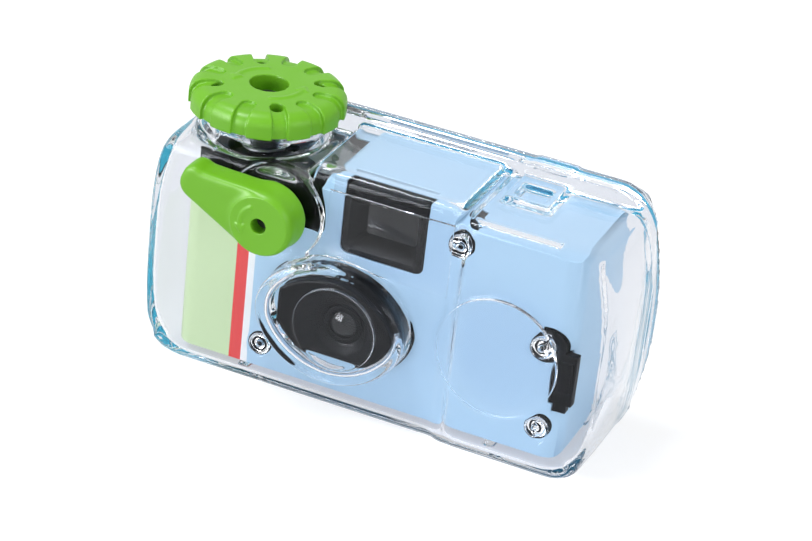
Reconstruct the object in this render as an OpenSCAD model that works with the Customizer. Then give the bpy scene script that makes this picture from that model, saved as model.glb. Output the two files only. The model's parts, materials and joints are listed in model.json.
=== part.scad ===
// Waterproof single-use film camera: a clear two-part case around a card-wrapped 35 mm camera.
// The front faces -Y, +Z is up and z = 0 is the underside of the case. Sizes in millimetres.

/* [Wrapped camera] */
// width of the card sleeve
core_w = 106; // [105:0.5:108]
// height of the card sleeve
core_h = 54.5; // [54:0.5:57]
// depth of the card sleeve
core_d = 31.4; // [31:0.2:33]
// sideways place of the sleeve in the case
core_shift = -0.6; // [-0.8:0.1:-0.2]
// thickness of the card
sleeve_t = 0.5; // [0.3:0.1:0.6]
// upright corner radius of the sleeve
core_corner = 5; // [3:0.5:6]
// corner radius of the sleeve seen from the front
core_edge = 1.6; // [1.5:0.1:1.8]
// width of the raised sight hump
hump_w = 32; // [29:0.5:33]
// middle of the sight hump
hump_x = 2.5; // [2:0.5:3]
// rise of the sight hump
hump_h = 3.6; // [2.5:0.2:4]
// wall of the camera covers
cover_t = 1.2; // [1:0.1:1.4]
// half depth of the middle moulding
body_half = 9; // [8.8:0.1:9.3]

/* [Case] */
// wall of the clear case
wall = 2.2; // [1.8:0.1:2.6]
// room between sleeve and front wall
front_gap = 1.9; // [1.7:0.1:2.4]
// room between sleeve and top wall
top_gap = 1.3; // [1:0.1:2]
// room between sleeve and side wall
side_gap = 8.8; // [8:0.2:11]
// room between sleeve and back wall
back_gap = 1.8; // [1.2:0.1:3]
// height of the ribs under the sleeve
rib_h = 1.8; // [1.8:0.1:2.6]
// place of the joint between the shells
seam_y = 14; // [13.6:0.1:14.4]
// thickness of the front flange
flange_t = 5.5; // [5:0.1:6]
// thickness of the rear flange
rear_flange_t = 1.5; // [1.3:0.1:1.9]
// distance of the flange edge inside the widest section
flange_set = 1; // [0.6:0.1:1.4]
// rise of the flanges over the middle of the case
flange_rise = 1.8; // [1.6:0.1:3]
// bow radius of the sides seen from the front
bow_r = 100; // [95:1:140]
// bow radius of the sides seen from above
plan_r = 59; // [58:1:90]
// place of the widest section
widest_y = -8; // [-9:0.5:-6]
// top corner radius
corner_top = 11; // [9:0.5:12]
// bottom corner radius
corner_bottom = 15; // [12:0.5:15.5]
// bottom corner radius of the flanges
foot_corner = 8; // [7:0.5:9]
// front edge radius
edge_r = 4; // [3.6:0.1:5]
// upright front corner radius
front_corner = 8; // [6:0.5:9]
// left end of the middle section
step_x = -18; // [-19:0.2:-16]
// left end of the grip block
block_x = 20.5; // [20:0.2:21]
// forward step of the grip block
block_step = 1.4; // [0.8:0.1:2]
// extra height of the grip block
block_rise = 1.5; // [0.5:0.1:2.5]
// rise of the clear window in front of the sight
sight_pad = 0.5; // [0.3:0.1:0.8]
// radius of the round pad on the grip block
pad_r = 16; // [14:0.5:16.5]
// height of the round pad
pad_h = 0.7; // [0.4:0.1:1]
// outer radius of the locating posts
post_r = 2.4; // [2.2:0.1:2.8]
// hole radius of the locating posts
post_hole_r = 1.3; // [0.8:0.1:1.6]

/* [Seal] */
// width of the seal
seal_w = 1.6; // [1.4:0.1:1.8]
// thickness of the seal
seal_t = 0.8; // [0.6:0.1:1]
// distance of the seal from the flange edge
seal_inset = 0.9; // [0.7:0.1:1.1]
// width of the flange inside the seal
seal_land = 0.4; // [0.3:0.1:0.6]

/* [Lens port] */
// half width of the oval port
port_a = 20; // [19.5:0.1:20.5]
// half height of the oval port
port_b = 16.3; // [16:0.1:17]
// end radius of the oval port
port_end_r = 12; // [11.5:0.1:13]
// middle of the port, sideways
port_x = -7.7; // [-8:0.1:-7.4]
// middle of the port, upward
port_z = 27.5; // [27:0.1:28]
// reach of the port in front of the case
port_out = 7.4; // [6.5:0.1:9]
// edge step of the port
port_step = 0.8; // [0.4:0.1:1]

/* [Winding dial] */
// axis of the dial, sideways
dial_x = -39.9; // [-40:0.1:-39.6]
// axis of the dial, front to back
dial_y = -1.6; // [-1.7:0.1:-1.3]
// radius of the dial
dial_r = 19.7; // [18.5:0.1:20.5]
// height of the dial
dial_h = 6.3; // [6:0.1:8]
// rim rounding of the dial
dial_round = 3.5; // [2.5:0.1:3.8]
// gap under the dial
dial_gap = 0.8; // [0.5:0.1:1.5]
// number of grooves
groove_n = 12; // [8:4:16]
// width of a groove
groove_w = 3.8; // [3:0.1:4.6]
// depth of a groove
groove_d = 0.9; // [0.6:0.1:1.6]
// inner end of the grooves
groove_in = 13.6; // [12.5:0.1:14.5]
// turn of the groove pattern
groove_turn = 5; // [0:1:29]
// radius of the middle hole
dial_hole_r = 4.9; // [4:0.1:5.4]
// radius of the small holes
peg_hole_r = 1.5; // [1:0.1:1.8]
// pitch radius of the small holes
peg_pitch_r = 12.8; // [12.2:0.1:13.4]
// height of the turn arrows
arrow_h = 0.35; // [0.2:0.05:0.6]
// place of the first turn arrow in degrees
arrow_turn = 116; // [0:1:179]
// radius of the clear boss under the dial
dial_boss_r = 16; // [15:0.1:16.6]
// radius of the dial shaft
dial_shaft_r = 3.5; // [3:0.1:3.8]

/* [Shutter lever] */
// axis of the lever, sideways
lever_x = -26.3; // [-26.5:0.1:-26.1]
// height of the lever axis over the ribs
lever_up = 47.4; // [47.2:0.1:47.6]
// radius of the round end
lever_r = 9.25; // [8.5:0.05:9.6]
// narrowing of the round end toward the front
lever_draft = 1.4; // [0.8:0.1:1.8]
// thickness of the lever
lever_t = 8.4; // [7.5:0.1:9.5]
// sideways reach to the tip
tip_dx = 18.6; // [16:0.1:19.5]
// rise to the tip
tip_dz = 5.2; // [4:0.1:6]
// radius of the tip
tip_r = 4; // [3.5:0.1:4.5]
// rise of the finger rest over the tip
rest_dz = 2.2; // [1.6:0.1:2.6]
// radius of the finger rest
rest_r = 2.8; // [2.4:0.1:3]
// rise of the round face over the arm
face_h = 0.7; // [0.3:0.1:1]
// hole radius at the axis
lever_hole_r = 2; // [1.9:0.1:2.2]
// depth of the hole at the axis
lever_hole_d = 4.6; // [3.6:0.1:5]
// radius of the clear boss behind the lever
lever_boss_r = 12.5; // [11:0.1:13]
// reach of that boss in front of the case
lever_boss_out = 2.5; // [2:0.1:3.2]
// gap between boss and lever
lever_gap = 0.3; // [0.2:0.05:0.6]
// radius of the lever shaft
lever_shaft_r = 2.5; // [2.4:0.05:2.6]
// pin pitch radius of the release cam
cam_pitch = 3.9; // [3.8:0.05:4]
// radius of the pin on the release cam
pin_r = 1.2; // [1.1:0.05:1.3]
// radius of the release plunger
plunger_r = 1; // [0.9:0.05:1.1]
// swing of the lever in degrees
lever_swing = 20; // [10:1:20]

/* [Optics] */
// lens axis, sideways
lens_x = -5.5; // [-5.7:0.1:-5.3]
// lens axis over the ribs
lens_up = 22.2; // [22:0.1:22.8]
// radius of the front lens
front_lens_r = 4.2; // [3.8:0.1:4.4]
// radius of its round front
lens_ball_r = 5; // [4.6:0.1:8]
// radius of the rear lens
rear_lens_r = 3.4; // [3:0.1:3.5]
// radius of the dish around the lens
dish_r = 7.6; // [7:0.1:8.4]
// reach of the black lens panel in front of the cover
panel_out = 6.4; // [6:0.1:7]
// left end of the black lens panel
panel_x = -23.4; // [-23.8:0.1:-23]
// foot of the black lens panel over the ribs
panel_up = 12.6; // [12:0.1:13]
// radius of its arched top
panel_arc_r = 20.4; // [20:0.1:21]
// middle of its arched top
panel_mid = -9.3; // [-9.6:0.1:-9]
// rim of the lens panel in the card
panel_rim = 1.2; // [0.8:0.1:1.4]
// left side of the sight frame
sight_x0 = -10.3; // [-10.6:0.1:-9.8]
// width of the sight frame
sight_w = 22.1; // [21.5:0.1:22.5]
// foot of the sight frame over the ribs
sight_up = 39.4; // [39.2:0.1:39.8]
// corner radius of the sight frame
sight_r = 2; // [1.5:0.1:2.4]

/* [Film] */
// radius of the film cartridge
can_r = 12.4; // [12.2:0.1:12.5]
// height of the film cartridge
can_h = 43; // [42.6:0.1:43.2]
// width of the film
film_w = 35; // [34:0.1:35.2]
// drawn thickness of the film
film_t = 0.15; // [0.12:0.01:0.2]
// place of the film plane
film_y = 10.35; // [10.3:0.05:10.5]
// width of the picture gate
gate_w = 36; // [34:0.5:36.5]
// height of the picture gate
gate_h = 24; // [22:0.5:24.5]
// radius of the wound film
roll_r = 8.8; // [7.5:0.1:9]
// axis of the wound film, sideways
supply_x = 38; // [36:0.2:39]
// tip radius of the film sprocket
sprocket_r = 5.8; // [5.4:0.1:5.9]
// radius of the frame counter disc
counter_r = 6.6; // [6:0.1:6.8]

/* [Fits] */
// gap of pieces that sit still
fit = 0.1; // [0.05:0.01:0.15]
// gap of shafts that turn
run = 0.05; // [0.03:0.01:0.08]
// gap between the lens panel and the port
panel_gap = 0.6; // [0.4:0.1:0.8]

/* [Hidden] */
$fn = 64;
e = 0.01;
core_x0 = core_shift - core_w / 2;
core_x1 = core_shift + core_w / 2;
core_yf = -core_d / 2;
core_yb = core_d / 2;
core_z0 = wall + rib_h;
core_z1 = core_z0 + core_h;
front_in = core_yf - front_gap;
front_out = front_in - wall;
block_in = front_in - block_step;
block_out = front_out - block_step;
case_hw = core_w / 2 + side_gap + wall;
flange_hw = case_hw - flange_set;
mid_z = core_z0 + core_h / 2;
left_top = core_z1 + top_gap + wall;
mid_top = left_top + hump_h;
block_top = left_top + block_rise;
flange_top = mid_top + flange_rise;
back_in = core_yb + back_gap;
back_out = back_in + wall;
// inner edge of the flange ring
ring_in = seal_inset + seal_w + seal_land;
through_hw = flange_hw - ring_in - 1.4;
lens_z = core_z0 + lens_up;
lever_z = core_z0 + lever_up;
cam_y0 = front_in + 0.4;
shell = sleeve_t + 0.05;
cover_yf = core_yf + shell;
cover_yb = core_yb - shell;
cover_in = cover_yf + cover_t;
panel_yf = cover_yf - panel_out;
// front of the lens: its ball reaches the full lens radius at the retainer
lens_tip = panel_yf + 2.2 - lens_ball_r + sqrt(pow(lens_ball_r, 2) - pow(front_lens_r, 2));
cam_top = core_z1 - shell;
notch_x = -16.8;
notch_z = core_z0 + 43;
shelf_z = core_z0 + 45.6;
can_z0 = lens_z - can_h / 2;
can_z1 = lens_z + can_h / 2;
dial_z = flange_top + dial_gap;
dial_top = dial_z + dial_h;
dial_floor = dial_z + 1.5;
bearing_z = left_top - wall - 0.7;
lever_back = front_out - lever_boss_out - lever_gap;
lever_front = lever_back - lever_t;
hole_end = lever_front + lever_hole_d;
sight_z0 = core_z0 + sight_up;
sight_z1 = core_z1 + hump_h - shell;
sight_x1 = sight_x0 + sight_w;
supply_y = film_y - roll_r - 0.05;
sprocket_x = -18;
sprocket_y = film_y - sprocket_r - 0.25;
counter_x = -21.5;
counter_y = 1;
counter_z = cam_top - 3;
plunger_x = lever_x - cam_pitch;
plunger_y = cover_in + 1.75;
plunger_top = lever_z - pin_r - 0.2;
plunger_drop = cam_pitch * sin(lever_swing);
ledge_z = plunger_top - 1.1 - plunger_drop - 0.4;
collar_z = ledge_z - 1.4 - 1.2;
spring_z = collar_z - 5.4;
blade_x = lens_x - 10.5;
blade_z = lens_z + 7.8;
blade_y = -body_half - 2.2;
wheel_z = can_z1 + 2.7;
wheel_h = 3.6;
post_at = [[21.3, 50.9], [45.3, 31.3], [46.4, 9.1], [-29.2, 7.2]];
latch_x = 47.8;
latch_z0 = core_z0 + 16.2;
latch_z1 = core_z0 + 29;

clear_plastic = [0.86, 0.9, 0.94, 0.35];
green = [0.49, 0.76, 0.25];
black = [0.13, 0.13, 0.14];
card = [0.66, 0.79, 0.9];
teal = [0.1, 0.55, 0.68];
steel = [0.7, 0.7, 0.72];

// an outline drawn in the front view, made into a slab from y0 to y1
module slab(y0, y1) {
  translate([0, y1, 0]) rotate([90, 0, 0]) linear_extrude(y1 - y0) children();
}

// a round bar along the depth
module rod(x, z, y0, y1, r) {
  translate([x, y1, z]) rotate([90, 0, 0]) cylinder(r = r, h = y1 - y0);
}

// an upright round bar
module post(x, y, z0, z1, r) {
  translate([x, y, z0]) cylinder(r = r, h = z1 - z0);
}

module box(x0, x1, y0, y1, z0, z1) {
  translate([x0, y0, z0]) cube([x1 - x0, y1 - y0, z1 - z0]);
}

module rounded(x0, x1, y0, y1, r) {
  translate([x0 + r, y0]) square([x1 - x0 - 2 * r, y1 - y0]);
  translate([x0, y0 + r]) square([x1 - x0, y1 - y0 - 2 * r]);
  for (x = [x0 + r, x1 - r])
    for (y = [y0 + r, y1 - r])
      translate([x, y]) circle(r);
}

function corner_x(hw, r, zc) = hw - bow_r + sqrt(pow(bow_r - r, 2) - pow(zc - mid_z, 2));

function arc(c, r, a0, a1, n) =
  [for (i = [0 : n]) c + r * [cos(a0 + (a1 - a0) * i / n), sin(a0 + (a1 - a0) * i / n)]];

// right edge of the bowed outline from the top to the bottom, d inside it
function bowed_edge(hw, zt, d, rb) =
  let (sx = hw - bow_r,
    ct = [corner_x(hw, corner_top, zt - corner_top), zt - corner_top],
    cb = [corner_x(hw, rb, rb), rb],
    at = atan2(ct[1] - mid_z, ct[0] - sx),
    ab = atan2(cb[1] - mid_z, cb[0] - sx))
  concat(
    arc(ct, corner_top - d, 90, at, 12),
    [for (i = [1 : 13]) [sx, mid_z] + (bow_r - d)
      * [cos(at + (ab - at) * i / 14), sin(at + (ab - at) * i / 14)]],
    arc(cb, rb - d, ab, -90, 12));

// front outline with bowed sides and round corners, d inside its edge
module bowed(hw, zt, d, rb) {
  right = bowed_edge(hw, zt, d, rb);
  n = len(right);
  polygon(concat(right, [for (i = [1 : n]) [-right[n - i][0], right[n - i][1]]]));
}

// plan outline of the front shell
module plan(d) {
  sx = case_hw - plan_r;
  r = front_corner - d;
  y0 = block_out + d;
  intersection() {
    union() {
      for (m = [0, 1])
        mirror([m, 0]) intersection() {
          translate([sx, widest_y]) circle(plan_r - d, $fn = 128);
          translate([-1, -60]) square([case_hw + 1, 120]);
        }
    }
    union() {
      translate([-case_hw + d, y0 + r]) square([2 * (case_hw - d), seam_y - y0]);
      translate([-case_hw + d + r, y0]) square([2 * (case_hw - d - r), r + 1]);
      for (s = [-1, 1])
        translate([s * (case_hw - d - r), y0 + r]) circle(r);
    }
  }
}

// one length of the front shell, from its side view
module length_of(x0, x1, yf, zb, zt, r) {
  translate([x0, 0, 0]) rotate([90, 0, 90]) linear_extrude(x1 - x0) {
    translate([yf + r, zb]) square([seam_y - yf - r, zt - zb]);
    translate([yf, zb + r]) square([r + 1, zt - zb - 2 * r]);
    translate([yf + r, zb + r]) circle(r);
    translate([yf + r, zt - r]) circle(r);
  }
}

// the bulk of the front shell, d inside its outer face
module front_bulk(d) {
  intersection() {
    slab(-40, seam_y) bowed(case_hw, mid_top, d, corner_bottom);
    linear_extrude(100) plan(d);
    union() {
      length_of(-70, step_x - d, front_out + d, d, left_top - d, edge_r - d);
      length_of(step_x - d - e, block_x + d, front_out + d, d, mid_top - d, edge_r - d);
      length_of(block_x + d - e, 70, block_out + d, d, block_top - d, edge_r - d);
    }
  }
}

// oval outline from four arcs, d inside its edge
module oval(d) {
  m = port_a - port_end_r;
  big = (m * m + port_b * port_b - port_end_r * port_end_r) / (2 * (port_b - port_end_r));
  xt = m * (big - d) / (big - port_end_r);
  translate([port_x, port_z]) {
    for (s = [-1, 1])
      translate([s * m, 0]) circle(port_end_r - d);
    intersection() {
      translate([0, port_b - big]) circle(big - d);
      translate([0, big - port_b]) circle(big - d);
      translate([-xt, -port_b]) square([2 * xt, 2 * port_b]);
    }
  }
}

// front outline of the wrapped camera, d inside its edge
module core_front(d) {
  rounded(core_x0 + d, core_x1 - d, core_z0 + d, core_z1 - d, max(core_edge - d, 0.4));
  translate([hump_x - hump_w / 2 + d, mid_z])
    square([hump_w - 2 * d, core_z1 + hump_h - d - mid_z]);
}

// the wrapped camera between two depths, d inside its faces
module core(d, y0, y1) {
  intersection() {
    slab(y0, y1) core_front(d);
    linear_extrude(100)
      rounded(core_x0 + d, core_x1 - d, core_yf + d, core_yb - d, core_corner - d);
  }
}

// black lens panel inside the port: flat foot and left end, arched top
module panel(d) {
  intersection() {
    oval(wall + panel_gap + d);
    translate([panel_mid, core_z0 + panel_up]) circle(panel_arc_r - d, $fn = 128);
    translate([panel_x + d, core_z0 + panel_up + d]) square(60);
  }
}

// room for the film cartridge
module can_room() {
  post(dial_x, dial_y, core_z0 - 1, can_z1 + fit, can_r + 2 * fit);
}

module front_case() {
  color(clear_plastic) {
    difference() {
      union() {
        front_bulk(0);
        slab(seam_y - flange_t, seam_y) bowed(flange_hw, flange_top, 0, foot_corner);
        slab(front_out - port_out + port_step, front_in) oval(0);
        slab(front_out - port_out, front_in) oval(port_step);
        rod(lens_x, port_z, front_out - port_out - 0.4, front_in, 11);
        rod(lever_x, lever_z, front_out - lever_boss_out, front_in, lever_boss_r);
        intersection() {
          post(dial_x, dial_y, bearing_z, flange_top, dial_boss_r);
          box(-80, 0, -40, seam_y, 0, 90);
        }
        intersection() {
          length_of(-20, block_x, front_out - sight_pad, 1, mid_top - 0.05, edge_r);
          slab(-40, front_in) rounded(sight_x0 - 2.7, 60, sight_z0 - 2.1, 90, 3);
        }
        rod(35, mid_z - 1.2, block_out - pad_h, block_in, pad_r);
        box(26, 38, -6, seam_y - flange_t, block_top - 1, block_top + 1.6);
        box(27, 37.5, seam_y - flange_t + 0.5, seam_y, flange_top - 2, flange_top + 0.5);
      }
      intersection() {
        front_bulk(wall);
        slab(-40, seam_y - flange_t) bowed(case_hw, mid_top, wall, corner_bottom);
      }
      intersection() {
        slab(seam_y - flange_t - e, seam_y + 1) bowed(flange_hw, flange_top, ring_in, foot_corner);
        front_through();
      }
      slab(front_out - port_out + wall, front_in + 1) oval(wall);
      post(dial_x, dial_y, bearing_z - 1, flange_top - wall, dial_boss_r - 3.2);
      post(dial_x, dial_y, bearing_z - 1, flange_top + 1, dial_shaft_r + run);
      rod(lever_x, lever_z, front_out - lever_boss_out - 1, front_in + 1, lever_shaft_r + run);
      box(28, 36, -4, 3, block_top, block_top + 2);
    }
    difference() {
      post(dial_x, dial_y, bearing_z, flange_top - 1, dial_shaft_r + 2.6);
      post(dial_x, dial_y, bearing_z - 1, flange_top, dial_shaft_r + run);
    }
    for (x = [-34, 34])
      box(x - 1, x + 1, core_yf, seam_y - flange_t, wall - 0.5, core_z0);
    for (p = post_at) {
      y0 = p[0] > block_x ? block_in - 0.5 : front_in - 0.5;
      difference() {
        rod(p[0], core_z0 + p[1], y0, cover_yf - fit, post_r);
        rod(p[0], core_z0 + p[1], y0 + 0.6, cover_yf, post_hole_r);
      }
    }
  }
}

// the way through the front flange
module front_through() {
  slab(seam_y - flange_t - 1, seam_y + 2) intersection() {
    bowed(case_hw, mid_top, wall, corner_bottom);
    union() {
      translate([-through_hw, wall]) square([through_hw + step_x - wall, left_top - 2 * wall]);
      translate([step_x - wall - e, wall]) square([block_x - step_x + 2 * wall, mid_top - 2 * wall]);
      translate([block_x + wall - e, wall]) square([through_hw - block_x - wall, block_top - 2 * wall]);
    }
  }
}

module rear_case() {
  color(clear_plastic) {
    difference() {
      union() {
        slab(seam_y, seam_y + rear_flange_t) bowed(flange_hw, flange_top, 0, foot_corner);
        intersection() {
          slab(seam_y, back_out) bowed(flange_hw, flange_top, 1.6, foot_corner);
          linear_extrude(100)
            rounded(-flange_hw + 1.6, flange_hw - 1.6, -60, back_out, front_corner);
          translate([-80, 0, 0]) rotate([90, 0, 90]) linear_extrude(160)
            rounded(-60, back_out, 0, flange_top - 1.6, edge_r);
        }
        slab(back_out - 1, back_out + 1.2) rounded(-8, 10, sight_z0 + 1, core_z1 + 1.5, 3);
        box(27, 37.5, seam_y, seam_y + rear_flange_t - 0.4, flange_top - 2, flange_top + 0.5);
        box(-46, 46, seam_y, back_out - 3, 0, 3);
      }
      intersection() {
        slab(seam_y - 1, back_in) bowed(flange_hw, flange_top, ring_in, foot_corner);
        linear_extrude(100)
          rounded(-flange_hw + ring_in, flange_hw - ring_in, -60, back_in, front_corner - wall);
      }
      seal_ring(seam_y - 1, seam_y + seal_t, 0);
    }
    for (z = [core_z0 + 16, core_z0 + 36])
      box(-40, 40, core_yb + fit, back_in + 0.5, z - 1, z + 1);
  }
}

module seal_ring(y0, y1, gap) {
  difference() {
    slab(y0, y1) bowed(flange_hw, flange_top, seal_inset + gap, foot_corner);
    slab(y0 - 1, y1 + 1) bowed(flange_hw, flange_top, seal_inset + seal_w - gap, foot_corner);
  }
}

module case_seal() {
  color(teal) seal_ring(seam_y, seam_y + seal_t, 0.02);
}

// half section of the dial body
module dial_section(r, top, round_r) {
  translate([0, dial_z]) square([r - round_r, top - dial_z]);
  translate([0, dial_z]) square([r, top - round_r - dial_z]);
  intersection() {
    translate([r - round_r, top - round_r]) circle(round_r);
    translate([0, dial_z]) square([r + 1, dial_h]);
  }
}

module dial_groove() {
  translate([groove_in, -groove_w / 2, dial_z - 1]) cube([dial_r, groove_w, dial_h + 2]);
  translate([groove_in, 0, dial_z - 1]) cylinder(r = groove_w / 2, h = dial_h + 2);
}

module turn_arrow() {
  translate([0, 0, dial_top - 0.2]) {
    rotate_extrude(angle = 70)
      translate([8.2, 0]) square([0.9, arrow_h + 0.2]);
    rotate([0, 0, 68]) translate([8.65, 0, 0]) linear_extrude(arrow_h + 0.2)
      polygon([[-1.5, 0], [1.5, 0], [0, 2.6]]);
  }
}

module advance_dial() {
  color(green) translate([dial_x, dial_y, 0]) difference() {
    union() {
      rotate_extrude() dial_section(dial_r - groove_d, dial_top - groove_d, dial_round);
      difference() {
        rotate_extrude() dial_section(dial_r, dial_top, dial_round);
        for (i = [0 : groove_n - 1])
          rotate([0, 0, groove_turn + i * 360 / groove_n]) dial_groove();
      }
      for (a = [0, 180])
        rotate([0, 0, arrow_turn + a]) turn_arrow();
    }
    translate([0, 0, dial_floor]) cylinder(r = dial_hole_r, h = dial_h + 2);
    translate([0, 0, dial_z - 1]) cylinder(r = 1.3, h = dial_h + 2);
    translate([0, 0, dial_z - 1]) cylinder(r = dial_shaft_r + fit, h = 1.6);
    for (i = [0 : 3])
      rotate([0, 0, groove_turn + 30 + i * 90])
        translate([peg_pitch_r, 0, dial_z - 1]) cylinder(r = peg_hole_r, h = dial_h + 2);
  }
}

module dial_shaft() {
  color(black) {
    difference() {
      post(dial_x, dial_y, wheel_z + wheel_h + 0.6, dial_z + 0.6, dial_shaft_r);
      post(dial_x, dial_y, dial_z - 7, dial_z + 2, 1.2);
      shaft_groove(bearing_z - 1.2, bearing_z - 0.3, dial_shaft_r - 0.7);
      shaft_groove(dial_z - 4.6, dial_z - 3.2, dial_shaft_r - 0.8);
    }
    box(dial_x - 2.9, dial_x + 2.9, dial_y - 0.75, dial_y + 0.75,
      wheel_z + wheel_h - 1.8, wheel_z + wheel_h + 0.7);
  }
}

module shaft_groove(z0, z1, r) {
  difference() {
    post(dial_x, dial_y, z0, z1, dial_shaft_r + 1);
    post(dial_x, dial_y, z0 - 1, z1 + 1, r);
  }
}

module dial_screw() {
  color(steel) {
    post(dial_x, dial_y, dial_z - 6.4, dial_floor + 0.5, 1.18);
    difference() {
      post(dial_x, dial_y, dial_floor, dial_floor + 1.6, 2.8);
      box(dial_x - 2, dial_x + 2, dial_y - 0.35, dial_y + 0.35, dial_floor + 0.8, dial_top);
      box(dial_x - 0.35, dial_x + 0.35, dial_y - 2, dial_y + 2, dial_floor + 0.8, dial_top);
    }
  }
}

module dial_circlip() {
  color(steel) difference() {
    post(dial_x, dial_y, bearing_z - 1.1, bearing_z - 0.4, dial_shaft_r + 1.8);
    post(dial_x, dial_y, bearing_z - 2, bearing_z + 1, dial_shaft_r - 0.68);
    box(dial_x - 1.6, dial_x + 1.6, dial_y, dial_y + 9, bearing_z - 2, bearing_z);
  }
}

module dial_o_ring() {
  color(black) translate([dial_x, dial_y, dial_z - 3.9])
    rotate_extrude() translate([dial_shaft_r - 0.37, 0]) circle(0.4);
}

// two round ends joined by their outer tangents
module tapered(a, ra, b, rb) {
  v = b - a;
  t = atan2(v[1], v[0]);
  k = acos((ra - rb) / norm(v));
  translate(a) circle(ra);
  translate(b) circle(rb);
  qa = ra - 0.003;
  qb = rb - 0.003;
  polygon([
    a + qa * [cos(t + k), sin(t + k)], b + qb * [cos(t + k), sin(t + k)],
    b + qb * [cos(t - k), sin(t - k)], a + qa * [cos(t - k), sin(t - k)]
  ]);
}

module lever_outline() {
  tip = [lever_x - tip_dx, lever_z + tip_dz];
  tapered([lever_x, lever_z], lever_r - lever_draft / 2, tip, tip_r);
  translate(tip + [-0.4, rest_dz]) circle(rest_r);
}

// curved press arrow on the round face
module press_arrow() {
  translate([lever_x, lever_front + 0.2, lever_z]) rotate([90, 0, 0]) {
    rotate([0, 0, 115]) rotate_extrude(angle = 75)
      translate([4.5, 0]) square([0.9, arrow_h + 0.2]);
    rotate([0, 0, 188]) translate([4.95, 0, 0]) linear_extrude(arrow_h + 0.2)
      polygon([[-1.4, 0], [1.4, 0], [0, 2.4]]);
  }
}

module shutter_lever() {
  color(green) difference() {
    union() {
      slab(lever_front + face_h, lever_back) lever_outline();
      translate([lever_x, lever_back, lever_z]) rotate([90, 0, 0])
        cylinder(r1 = lever_r, r2 = lever_r - lever_draft, h = lever_t);
      press_arrow();
    }
    rod(lever_x, lever_z, lever_front - 1, lever_back + 1, 1.1);
    rod(lever_x, lever_z, lever_front - 1, hole_end, lever_hole_r);
    rod(lever_x, lever_z, hole_end + 0.8, lever_back + 1, lever_shaft_r + run);
  }
}

module lever_shaft() {
  color(steel) difference() {
    rod(lever_x, lever_z, hole_end + 0.9, cam_y0 + 2.8, lever_shaft_r);
    rod(lever_x, lever_z, hole_end, hole_end + 5.6, 1);
    difference() {
      rod(lever_x, lever_z, front_out - 0.6, front_out + 0.6, lever_shaft_r + 1);
      rod(lever_x, lever_z, front_out - 1, front_out + 1, lever_shaft_r - 0.65);
    }
  }
}

module lever_screw() {
  color(steel) {
    rod(lever_x, lever_z, hole_end - 0.9, hole_end + 5.2, 0.98);
    difference() {
      rod(lever_x, lever_z, hole_end - 1.2, hole_end, lever_hole_r - fit);
      box(lever_x - 1.4, lever_x + 1.4, lever_front, hole_end - 0.7, lever_z - 0.3, lever_z + 0.3);
    }
  }
}

module lever_o_ring() {
  color(black) translate([lever_x, front_out, lever_z]) rotate([90, 0, 0])
    rotate_extrude() translate([lever_shaft_r - 0.3, 0]) circle(0.33);
}

module release_cam() {
  color(black) {
    difference() {
      union() {
        rod(lever_x, lever_z, cam_y0, cam_y0 + 2.8, lever_shaft_r + 1);
        box(plunger_x, lever_x, cam_y0, cam_y0 + 2.8, lever_z - pin_r, lever_z + pin_r);
      }
      rod(lever_x, lever_z, cam_y0 - 1, cam_y0 + 4, lever_shaft_r + 0.01);
    }
    rod(plunger_x, lever_z, cam_y0, plunger_y + pin_r, pin_r);
  }
}

module card_sleeve() {
  color(card) difference() {
    core(0, core_yf, core_yb);
    core(sleeve_t, core_yf + sleeve_t, core_yb - sleeve_t);
    box(core_x0 - 1, notch_x, core_yf - 1, film_y + 1, notch_z, core_z1 + 1);
    slab(core_yf - 1, 0) panel(-panel_rim - fit);
    slab(core_yf - 1, core_yf + 5)
      rounded(sight_x0 - fit, sight_x1 + fit, sight_z0 - fit, core_z1 + hump_h + 5, sight_r + fit);
    for (p = post_at)
      rod(p[0], core_z0 + p[1], core_yf - 1, core_yf + 2, post_r + 0.5);
    slab(core_yf - 1, core_yf + 2.6) latch_outline(0.4);
    box(latch_x + 1.3, core_x1 + 1, core_yf - 1, core_yf + 4.4, latch_z0 + 3.4, latch_z1 - 0.4);
    box(20.9, 23.3, core_yf + 1.6, core_yf + 9, core_z1 - 1, core_z1 + 1);
    slab(core_yb - 2, core_yb + 1) rounded(-5, 7, sight_z0 + 3, core_z1 - 1, 1.5);
  }
}

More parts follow.
